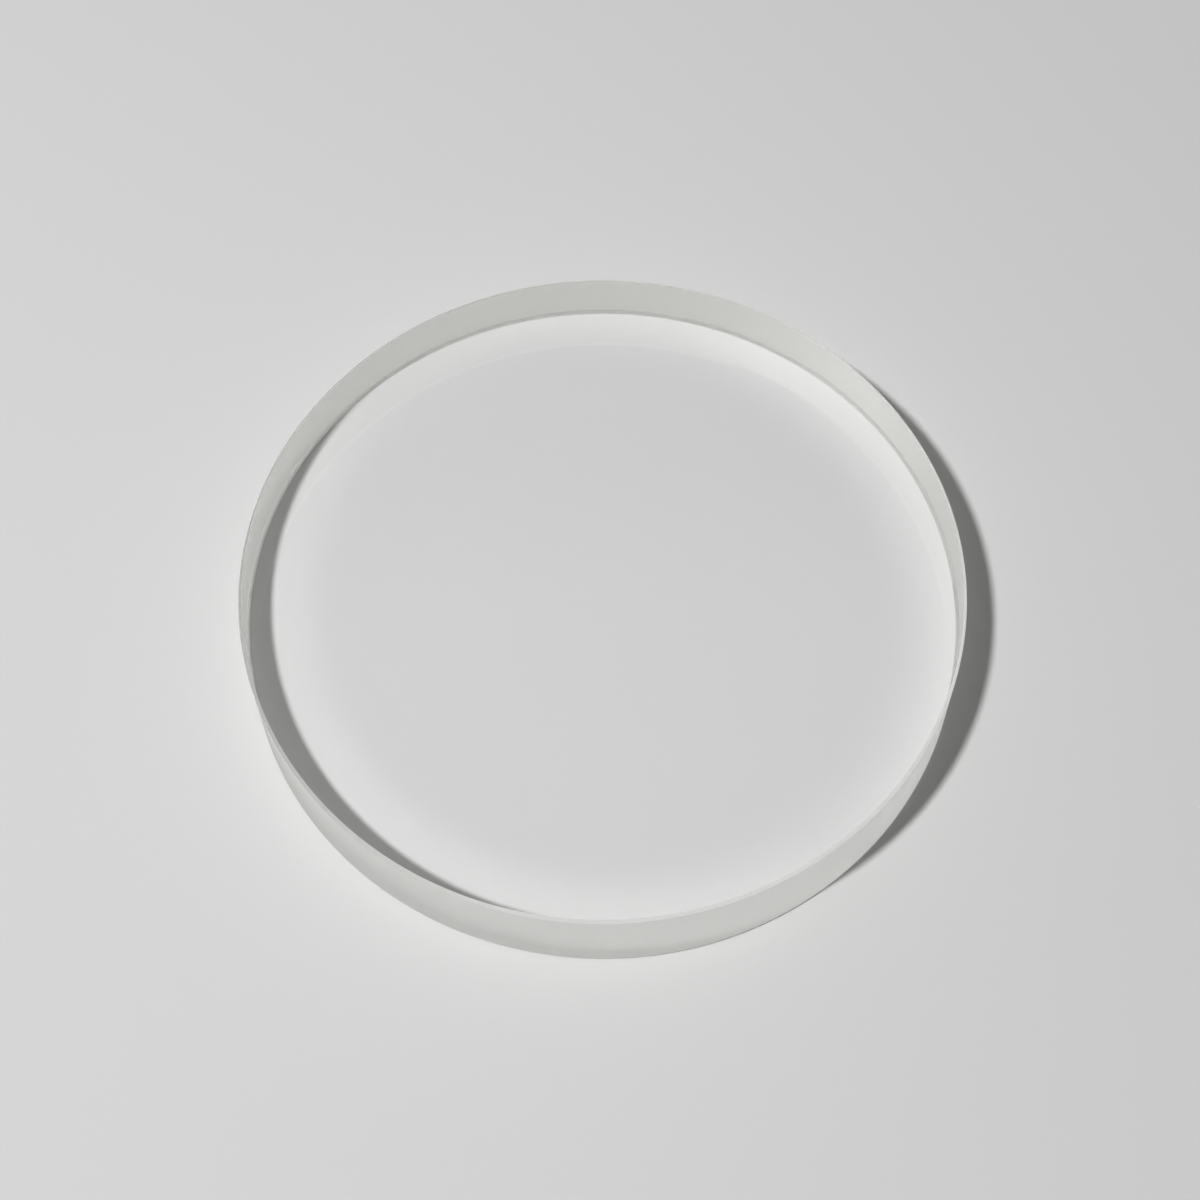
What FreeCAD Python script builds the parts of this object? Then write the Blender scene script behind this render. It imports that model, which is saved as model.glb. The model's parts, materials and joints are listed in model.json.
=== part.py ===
# A round, flat optical window: one solid disc of clear glass, 70 mm across and 10 mm thick.
# Both faces are polished flat and lie square to the axis. The edge is a plain ground cylinder.
# A narrow protective chamfer runs around each rim, where a sharp glass corner would chip.
# Units are millimetres. The origin is the centre of the lower face and +Z is the optical axis.

import FreeCAD, Part
import math
import os

# Driving dimensions
diameter = 70.0
thickness = 10.0
chamfer_width = 0.3
chamfer_angle = 45.0

# Dependent sizes
radius = diameter / 2
polished_radius = radius - chamfer_width
chamfer_height = chamfer_width * math.tan(math.radians(chamfer_angle))

AXIS_POINT = FreeCAD.Vector(0, 0, 0)
OPTICAL_AXIS = FreeCAD.Vector(0, 0, 1)


def half_section():
    """The disc's half section in the XZ plane, from the axis out to the ground edge."""
    corners = [
        FreeCAD.Vector(0, 0, 0),
        FreeCAD.Vector(polished_radius, 0, 0),
        FreeCAD.Vector(radius, 0, chamfer_height),
        FreeCAD.Vector(radius, 0, thickness - chamfer_height),
        FreeCAD.Vector(polished_radius, 0, thickness),
        FreeCAD.Vector(0, 0, thickness),
    ]
    outline = Part.makePolygon(corners + corners[:1])
    return Part.Face(outline)


def window_disc():
    """The half section turned once around the optical axis."""
    turned = half_section().revolve(AXIS_POINT, OPTICAL_AXIS, 360)
    if turned.Volume < 0:
        turned.reverse()
    return turned


def main():
    os.makedirs("parts", exist_ok=True)
    disc = window_disc()
    disc.exportStep("parts/window_disc.step")
    print("window_disc", disc.ShapeType, "valid", disc.isValid(), "volume", round(disc.Volume, 1), "mm3")


main()
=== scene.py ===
"""A round optical window of clear glass, lying on a pale matt board under one lamp.

The disc is one piece. Its two faces are polished, its edge is a fine-ground cylinder, and a
narrow ground chamfer runs round each rim. All lengths are metres unless a name says otherwise.
"""

import json
import math

import bpy
from mathutils import Euler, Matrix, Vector

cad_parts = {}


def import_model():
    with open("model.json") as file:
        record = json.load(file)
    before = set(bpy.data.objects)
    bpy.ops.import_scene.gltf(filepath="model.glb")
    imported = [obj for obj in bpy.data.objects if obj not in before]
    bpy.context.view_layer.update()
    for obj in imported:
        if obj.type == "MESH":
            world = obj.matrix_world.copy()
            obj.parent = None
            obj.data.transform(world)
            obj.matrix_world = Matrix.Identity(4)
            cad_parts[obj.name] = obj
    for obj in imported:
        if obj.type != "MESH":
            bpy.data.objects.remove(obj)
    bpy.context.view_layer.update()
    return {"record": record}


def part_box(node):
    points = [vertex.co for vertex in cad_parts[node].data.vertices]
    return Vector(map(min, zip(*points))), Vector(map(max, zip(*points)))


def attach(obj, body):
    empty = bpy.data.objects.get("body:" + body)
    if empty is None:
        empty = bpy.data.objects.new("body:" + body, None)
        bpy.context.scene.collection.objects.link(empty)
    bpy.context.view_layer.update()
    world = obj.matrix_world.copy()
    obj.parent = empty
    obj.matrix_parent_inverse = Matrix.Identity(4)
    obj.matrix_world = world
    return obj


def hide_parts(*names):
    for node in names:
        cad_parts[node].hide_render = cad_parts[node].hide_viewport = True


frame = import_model()

MM = 0.001

# The disc's own sizes, read from the frame
low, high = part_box("window_disc")
RADIUS = (high.x - low.x) / 2
THICKNESS = high.z - low.z
MIDDLE = low.z + THICKNESS / 2
EDGE_MOUNT = next(m for m in frame["record"]["mounts"] if m["name"] == "edge")
EDGE_LENGTH = EDGE_MOUNT["dims"]["length_mm"] * MM
CHAMFER = (THICKNESS - EDGE_LENGTH) / 2
RIM_SEGMENTS = 360
# Faces that meet at less than this angle look like one smooth surface
SMOOTH_UP_TO_DEG = 30
# How much a polished face's normal points up or down, at the least, and the edge's, at the most
POLISHED_TILT = 0.99
EDGE_TILT = 0.1

# Crown glass
GLASS_INDEX = 1.517
FACE_PASSES = 0.958
# A light's straight path to a point in the glass overstates what reaches the walls, so the
# upper face holds that part back and the lower face gives it again to the board beneath
UPPER_PASSES = FACE_PASSES / GLASS_INDEX**3
LOWER_PASSES = FACE_PASSES * GLASS_INDEX**3
# The polish rolls off for this far inside the chamfer, and no clear light enters there
ROLLED_RIM = 0.13 * MM

# The marks that grinding and polishing leave, in waves to the metre, and the streaks' share in them
GRINDING = {"Grain Scale": 4000.0, "Streak Length": 60.0, "Streak Width": 2500.0, "Streak Share": 0.4}
POLISHING = {"Grain Scale": 300.0, "Streak Length": 45.0, "Streak Width": 2500.0, "Streak Share": 0.5}
GRAIN_DETAIL = 2.0
STREAK_DETAIL = 3.0
# Nearly all of the marks' tone lies between these two values
TONE_LOW = 0.3
TONE_HIGH = 0.7
POLISH_HAZE = 0.012

# The ground surface is a faintly warm white. Where the marks' tone is low it is a little darker: painted
# shade in the grain's hollows, mixed with streaks that differ at random
GROUND_PEAKS = (0.98, 0.985, 0.958, 1)
GROUND_SHADED_HOLLOWS = (0.94, 0.945, 0.918, 1)
GROUND_DEPTH = 0.01 * MM
GROUND_RELIEF = 0.15
ROUGHNESS_SPREAD = 0.05

# The lamp, as its shadows on the board place it
LAMP_PLACE = Vector((-217.2, -184.5, 575.2)) * MM
LAMP_AIM = Vector((110, 500, 0)) * MM
LAMP_WIDTH = 50 * MM
# How bright the lamp alone and the fill alone make a white board under them, where 1 is full white
LAMP_SHARE = 0.808
FILL_SHARE = 0.175
# The fill from all round is strongest at the back left of the room and weakest at the front right
FILL_LEAN = Vector((-0.57, 0.78, 0))

# The camera looks down on the disc from the front
CAMERA_PLACE = Vector((0, -105.17, 205.57)) * MM
CAMERA_TURN_DEG = (0.612, 0.067, -0.401)
CAMERA_LENS_MM = 69.235
CAMERA_SENSOR_MM = 36
CAMERA_NEAREST = 0.01
CAMERA_FARTHEST = 20

# What shows of the room: a pale backdrop, a dim wall above it and a panel overhead. Where one
# passes into the next is the sine of its angle above the horizon, give or take the blur.
BACKDROP_TONE = 0.62
BACKDROP_TOP = 0.74
BACKDROP_BLUR = 0.04
WALL_TONE = 0.33
PANEL_EDGE = 0.87
PANEL_BLUR = 0.015
PANEL_TONE = 0.56

# The board looks like itself out to the first distance, and like the backdrop beyond the second
BOARD_NEAR = 0.09
BOARD_FAR = 0.22
BOARD_GAP = 0.05 * MM
BOARD_WIDTH = 6.0
BOARD_TONE = 0.639

# Diffuse Depth counts the matt surfaces that a ray has met, so it has met none below this
BEFORE_ANY_MATT = 0.5
GLASS_BOUNCES = 24
MATT_BOUNCES = 12


def deselect_all():
    """Leaves no object selected, so that an operator acts on the new piece alone."""
    if bpy.context.object and bpy.context.object.mode != "OBJECT":
        bpy.ops.object.mode_set(mode="OBJECT")
    bpy.ops.object.select_all(action="DESELECT")


def select_edges(piece, wanted):
    """Selects the piece's edges whose ends both pass the test, and stays in edit mode."""
    bpy.ops.object.mode_set(mode="EDIT")
    bpy.ops.mesh.select_mode(type="EDGE")
    bpy.ops.mesh.select_all(action="DESELECT")
    bpy.ops.object.mode_set(mode="OBJECT")
    points = piece.data.vertices
    for edge in piece.data.edges:
        edge.select = all(wanted(points[i].co) for i in edge.vertices)
    bpy.ops.object.mode_set(mode="EDIT")


def turned_disc():
    """The disc: a cylinder whose two rims are chamfered."""
    deselect_all()
    bpy.ops.mesh.primitive_cylinder_add(
        vertices=RIM_SEGMENTS, radius=RADIUS, depth=THICKNESS, location=(0, 0, MIDDLE)
    )
    disc = bpy.context.object
    disc.name = "glass_window"
    bpy.ops.object.transform_apply(location=True, rotation=True, scale=True)
    for side in (-1, 1):
        select_edges(disc, lambda p: side * (p.z - MIDDLE) > THICKNESS / 4)
        bpy.ops.mesh.bevel(offset=CHAMFER, offset_type="OFFSET", segments=1, affect="EDGES")
        bpy.ops.object.mode_set(mode="OBJECT")
    bpy.ops.object.shade_smooth_by_angle(angle=math.radians(SMOOTH_UP_TO_DEG))
    return disc


def grey(tone):
    """A colour without any hue."""
    return (tone, tone, tone, 1)


def feed(tree, node, inputs):
    """Gives each of these inputs its value, or joins it to the output that feeds it."""
    for name, value in inputs.items():
        if isinstance(value, bpy.types.NodeSocket):
            tree.links.new(value, node.inputs[name])
        else:
            node.inputs[name].default_value = value


def add(tree, kind, inputs):
    """A new node of this kind, with its inputs fed."""
    node = tree.nodes.new(kind)
    feed(tree, node, inputs)
    return node


def calculate(tree, operation, *values):
    """The result of one Math node."""
    step = tree.nodes.new("ShaderNodeMath")
    step.operation = operation
    feed(tree, step, dict(enumerate(values)))
    return step.outputs["Value"]


def calculate_vector(tree, operation, *values):
    """The result of one Vector Math node: a number for a length or a dot product, else a vector."""
    step = tree.nodes.new("ShaderNodeVectorMath")
    step.operation = operation
    feed(tree, step, dict(enumerate(values)))
    return step.outputs["Value" if operation in ("LENGTH", "DOT_PRODUCT") else "Vector"]


def blend_colours(tree, share, first, second):
    """A colour that goes from the first to the second as the share goes from 0 to 1."""
    blend = tree.nodes.new("ShaderNodeMix")
    blend.data_type = "RGBA"
    feed(tree, blend, {0: share, 6: first, 7: second})
    return blend.outputs[2]


def blend_surfaces(tree, share, first, second):
    """A surface that goes from the first to the second as the share goes from 0 to 1."""
    return add(tree, "ShaderNodeMixShader", {0: share, 1: first, 2: second}).outputs[0]


def new_material(name):
    """An empty material and its node tree."""
    material = bpy.data.materials.new(name)
    material.use_nodes = True
    material.node_tree.nodes.clear()
    return material, material.node_tree


def worked_surface():
    """The marks that grinding and polishing leave: fine grain, and streaks that run round the edge."""
    group = bpy.data.node_groups.new("worked_surface", "ShaderNodeTree")
    for name, value in GRINDING.items():
        socket = group.interface.new_socket(name, in_out="INPUT", socket_type="NodeSocketFloat")
        socket.default_value = value
    for name in ("Tone", "Relief"):
        group.interface.new_socket(name, in_out="OUTPUT", socket_type="NodeSocketFloat")
    given = group.nodes.new("NodeGroupInput").outputs
    place = group.nodes.new("ShaderNodeTexCoord").outputs["Object"]
    grain = add(group, "ShaderNodeTexNoise", {
        "Vector": place,
        "Scale": given["Grain Scale"],
        "Detail": GRAIN_DETAIL,
    })
    stretch = add(group, "ShaderNodeCombineXYZ", {
        "X": given["Streak Length"],
        "Y": given["Streak Length"],
        "Z": given["Streak Width"],
    })
    drawn_out = calculate_vector(group, "MULTIPLY", place, stretch.outputs["Vector"])
    streaks = add(group, "ShaderNodeTexNoise", {
        "Vector": drawn_out,
        "Scale": 1.0,
        "Detail": STREAK_DETAIL,
    })
    tone = add(group, "ShaderNodeMix", {
        "Factor": given["Streak Share"],
        "A": grain.outputs["Fac"],
        "B": streaks.outputs["Fac"],
    })
    add(group, "NodeGroupOutput", {"Tone": tone.outputs["Result"], "Relief": grain.outputs["Fac"]})
    return group


def marks_of(tree, worked, values):
    """The worked surface's marks, placed in a material with its own values."""
    marks = tree.nodes.new("ShaderNodeGroup")
    marks.node_tree = worked
    feed(tree, marks, values)
    return marks


def from_tone(tree, marks, low_value, high_value):
    """A value that follows the marks' tone between two ends."""
    spread = add(tree, "ShaderNodeMapRange", {
        "Value": marks.outputs["Tone"],
        "From Min": TONE_LOW,
        "From Max": TONE_HIGH,
        "To Min": low_value,
        "To Max": high_value,
    })
    return spread.outputs["Result"]


def crown_glass(tree, colour, roughness):
    """The glass itself, which every finish of the disc has under its marks."""
    return add(tree, "ShaderNodeBsdfPrincipled", {
        "Base Color": colour,
        "Roughness": roughness,
        "IOR": GLASS_INDEX,
        "Transmission Weight": 1.0,
    })


def matt(tree, colour):
    """A surface that only scatters light."""
    return add(tree, "ShaderNodeBsdfPrincipled", {
        "Base Color": colour,
        "Roughness": 1.0,
        "Specular IOR Level": 0.0,
    })


def see_through(tree, share):
    """A surface that lets this share of the light straight through."""
    return add(tree, "ShaderNodeBsdfTransparent", {"Color": grey(share)}).outputs[0]


def finish_surface(tree, in_sight, in_shadow):
    """Ends a glass finish, which shows itself to sight in one way and to shadow rays in another."""
    path = tree.nodes.new("ShaderNodeLightPath")
    surface = blend_surfaces(tree, path.outputs["Is Shadow Ray"], in_sight, in_shadow)
    add(tree, "ShaderNodeOutputMaterial", {"Surface": surface})


def polished_glass(name, worked, lamp_passes):
    """A polished face: clear, colourless and smooth, with the faintest haze left by polishing."""
    material, tree = new_material(name)
    marks = marks_of(tree, worked, POLISHING)
    glass = crown_glass(tree, grey(1), from_tone(tree, marks, 0.0, POLISH_HAZE))
    finish_surface(tree, glass.outputs[0], see_through(tree, lamp_passes))
    return material


def light_through_upper_face(tree):
    """Gives 1 where the lamp's light came in by the upper polished face, and 0 elsewhere.

    A shadow ray goes straight to the lamp and leaves the glass by the edge, but the light that
    it stands for was bent at the upper face, so that light's way in is found from the way out.
    """
    slant = math.atan2(LAMP_PLACE.xy.length, LAMP_PLACE.z)
    bent = math.asin(math.sin(slant) / GLASS_INDEX)
    to_lamp = Vector((LAMP_PLACE.x, LAMP_PLACE.y, 0)).normalized()
    way_out = tree.nodes.new("ShaderNodeTexCoord").outputs["Object"]
    height = add(tree, "ShaderNodeSeparateXYZ", {"Vector": way_out}).outputs["Z"]
    ahead = calculate(tree, "MULTIPLY_ADD", height, math.tan(slant), -THICKNESS * math.tan(bent))
    shift = calculate_vector(tree, "MULTIPLY", to_lamp, ahead)
    flat = calculate_vector(tree, "MULTIPLY", way_out, (1, 1, 0))
    way_in = calculate_vector(tree, "SUBTRACT", flat, shift)
    from_axis = calculate_vector(tree, "LENGTH", way_in)
    return calculate(tree, "LESS_THAN", from_axis, RADIUS - CHAMFER - ROLLED_RIM)


def ground_glass(name, worked, roughness, outer_milk, inner_milk, through):
    """The edge and the chamfers: the same glass, ground fine and left matt.

    outer_milk and inner_milk say how much of the light the ground skin scatters, met from outside
    and from inside the glass, and through is the share of that which goes on through the skin.
    """
    material, tree = new_material(name)
    marks = marks_of(tree, worked, GRINDING)
    # Painted shade: the colour darkens where the marks' tone is low, which is mostly in the grain's
    # hollows
    colour = blend_colours(tree, from_tone(tree, marks, 0.0, 1.0), GROUND_SHADED_HOLLOWS, GROUND_PEAKS)
    relief = add(tree, "ShaderNodeBump", {
        "Height": marks.outputs["Relief"],
        "Strength": GROUND_RELIEF,
        "Distance": GROUND_DEPTH,
    })
    rough = from_tone(tree, marks, roughness - ROUGHNESS_SPREAD, roughness + ROUGHNESS_SPREAD)
    glass = crown_glass(tree, colour, rough)
    sent_back = matt(tree, colour)
    for shader in (glass, sent_back):
        feed(tree, shader, {"Normal": relief.outputs["Normal"]})
    sent_on = add(tree, "ShaderNodeBsdfTranslucent", {"Color": GROUND_PEAKS})
    milk = blend_surfaces(tree, through, sent_back.outputs[0], sent_on.outputs[0])
    inside = tree.nodes.new("ShaderNodeNewGeometry").outputs["Backfacing"]
    milkiness = add(tree, "ShaderNodeMapRange", {
        "Value": inside,
        "To Min": outer_milk,
        "To Max": inner_milk,
    })
    ground = blend_surfaces(tree, milkiness.outputs["Result"], glass.outputs[0], milk)
    clear_inside = calculate(tree, "MULTIPLY", light_through_upper_face(tree), inside)
    shaded = blend_surfaces(tree, clear_inside, ground, see_through(tree, UPPER_PASSES))
    finish_surface(tree, ground, shaded)
    return material


def dress_disc(disc):
    """Gives each face of the disc its finish by the way it looks."""
    worked = worked_surface()
    edge = {"roughness": 0.5, "outer_milk": 0.15, "inner_milk": 0.55, "through": 0.15}
    chamfer = {"roughness": 0.7, "outer_milk": 0.0, "inner_milk": 0.5, "through": 0.3}
    finishes = disc.data.materials
    finishes.append(polished_glass("polished_upper_face", worked, UPPER_PASSES))
    finishes.append(polished_glass("polished_lower_face", worked, LOWER_PASSES))
    finishes.append(ground_glass("ground_edge", worked, **edge))
    finishes.append(ground_glass("ground_chamfer", worked, **chamfer))
    for face in disc.data.polygons:
        tilt = face.normal.z
        if abs(tilt) > POLISHED_TILT:
            face.material_index = 0 if tilt > 0 else 1
        else:
            face.material_index = 2 if abs(tilt) < EDGE_TILT else 3


def sight_rays(tree, kinds):
    """Gives 1 for rays of these kinds that no matt surface has scattered yet, and the Light Path node."""
    path = tree.nodes.new("ShaderNodeLightPath")
    wanted = path.outputs[kinds[0]]
    for kind in kinds[1:]:
        wanted = calculate(tree, "MAXIMUM", wanted, path.outputs[kind])
    unscattered = calculate(tree, "LESS_THAN", path.outputs["Diffuse Depth"], BEFORE_ANY_MATT)
    return calculate(tree, "MULTIPLY", wanted, unscattered), path


def board_material():
    """Pale matt board: far out it passes into the backdrop, and from underneath it hides nothing."""
    material, tree = new_material("pale_board")
    near = matt(tree, grey(BOARD_TONE))
    backdrop = add(tree, "ShaderNodeEmission", {"Color": grey(BACKDROP_TONE)})
    place = tree.nodes.new("ShaderNodeTexCoord").outputs["Object"]
    far_out = tree.nodes.new("ShaderNodeMapRange")
    far_out.interpolation_type = "SMOOTHSTEP"
    feed(tree, far_out, {
        "Value": calculate_vector(tree, "LENGTH", place),
        "From Min": BOARD_NEAR,
        "From Max": BOARD_FAR,
    })
    sight, path = sight_rays(tree, ("Is Camera Ray", "Is Glossy Ray", "Is Transmission Ray"))
    share = calculate(tree, "MULTIPLY", far_out.outputs["Result"], sight)
    top = blend_surfaces(tree, share, near.outputs[0], backdrop.outputs[0])
    underside = tree.nodes.new("ShaderNodeNewGeometry").outputs["Backfacing"]
    from_below = calculate(tree, "MULTIPLY", underside, path.outputs["Is Camera Ray"])
    surface = blend_surfaces(tree, from_below, top, see_through(tree, 1))
    add(tree, "ShaderNodeOutputMaterial", {"Surface": surface})
    material.cycles.emission_sampling = "NONE"
    return material


def board():
    """The pale matt board that the disc lies on."""
    deselect_all()
    bpy.ops.mesh.primitive_plane_add(size=BOARD_WIDTH, location=(0, 0, low.z - BOARD_GAP))
    plane = bpy.context.object
    plane.name = "board"
    bpy.ops.object.transform_apply(location=True, rotation=True, scale=True)
    plane.data.materials.append(board_material())


def lamp():
    """One round lamp to the front left, above the disc."""
    data = bpy.data.lights.new("lamp", "AREA")
    data.shape = "DISK"
    data.size = LAMP_WIDTH
    beam = (LAMP_AIM - LAMP_PLACE).normalized()
    to_disc = -LAMP_PLACE.normalized()
    # The light leaves the lamp and meets the board at a slant, which leaves this share of it
    slant_leaves = beam.dot(to_disc) * -to_disc.z
    data.energy = LAMP_SHARE * math.pi**2 * LAMP_PLACE.length_squared / slant_leaves
    data.cycles.use_multiple_importance_sampling = False
    lamp_object = bpy.data.objects.new("lamp", data)
    lamp_object.location = LAMP_PLACE
    lamp_object.rotation_mode = "QUATERNION"
    lamp_object.rotation_quaternion = beam.to_track_quat("-Z", "Y")
    bpy.context.scene.collection.objects.link(lamp_object)


def world():
    """Soft fill light that leans to one side, with what the camera and the glass see of the room."""
    surroundings = bpy.data.worlds.new("surroundings")
    surroundings.use_nodes = True
    tree = surroundings.node_tree
    direction = tree.nodes.new("ShaderNodeTexCoord").outputs["Generated"]
    height = add(tree, "ShaderNodeSeparateXYZ", {"Vector": direction}).outputs["Z"]
    room = add(tree, "ShaderNodeValToRGB", {"Fac": height})
    stops = (
        (BACKDROP_TOP - BACKDROP_BLUR, BACKDROP_TONE),
        (BACKDROP_TOP + BACKDROP_BLUR, WALL_TONE),
        (PANEL_EDGE - PANEL_BLUR, WALL_TONE),
        (PANEL_EDGE + PANEL_BLUR, PANEL_TONE),
    )
    ramp = room.color_ramp
    for number, (place, tone) in enumerate(stops):
        stop = ramp.elements[number] if number < 2 else ramp.elements.new(place)
        stop.position = place
        stop.color = grey(tone)
    lean = calculate_vector(tree, "DOT_PRODUCT", direction, FILL_LEAN)
    fill = calculate(tree, "MULTIPLY_ADD", lean, FILL_SHARE, FILL_SHARE)
    sight, path = sight_rays(tree, ("Is Glossy Ray", "Is Transmission Ray"))
    seen = blend_colours(tree, sight, fill, room.outputs["Color"])
    shown = blend_colours(tree, path.outputs["Is Camera Ray"], seen, grey(BACKDROP_TONE))
    feed(tree, tree.nodes["Background"], {"Color": shown, "Strength": 1.0})
    surroundings.cycles.sampling_method = "NONE"
    bpy.context.scene.world = surroundings


def camera():
    """The camera at the photograph's place, with its small aiming turn."""
    data = bpy.data.cameras.new("camera")
    data.lens = CAMERA_LENS_MM
    data.sensor_width = CAMERA_SENSOR_MM
    data.clip_start = CAMERA_NEAREST
    data.clip_end = CAMERA_FARTHEST
    eye = bpy.data.objects.new("camera", data)
    eye.location = CAMERA_PLACE
    eye.rotation_mode = "QUATERNION"
    aim = Euler([math.radians(a) for a in CAMERA_TURN_DEG])
    eye.rotation_quaternion = CAMERA_PLACE.to_track_quat("Z", "Y") @ aim.to_quaternion()
    bpy.context.scene.collection.objects.link(eye)
    bpy.context.scene.camera = eye


disc = turned_disc()
dress_disc(disc)
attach(disc, "root")
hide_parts("window_disc")
board()
lamp()
world()
camera()

scene = bpy.context.scene
scene.view_settings.view_transform = "Standard"
scene.cycles.blur_glossy = 0
scene.cycles.max_bounces = GLASS_BOUNCES
scene.cycles.glossy_bounces = GLASS_BOUNCES
scene.cycles.transmission_bounces = GLASS_BOUNCES
scene.cycles.diffuse_bounces = MATT_BOUNCES
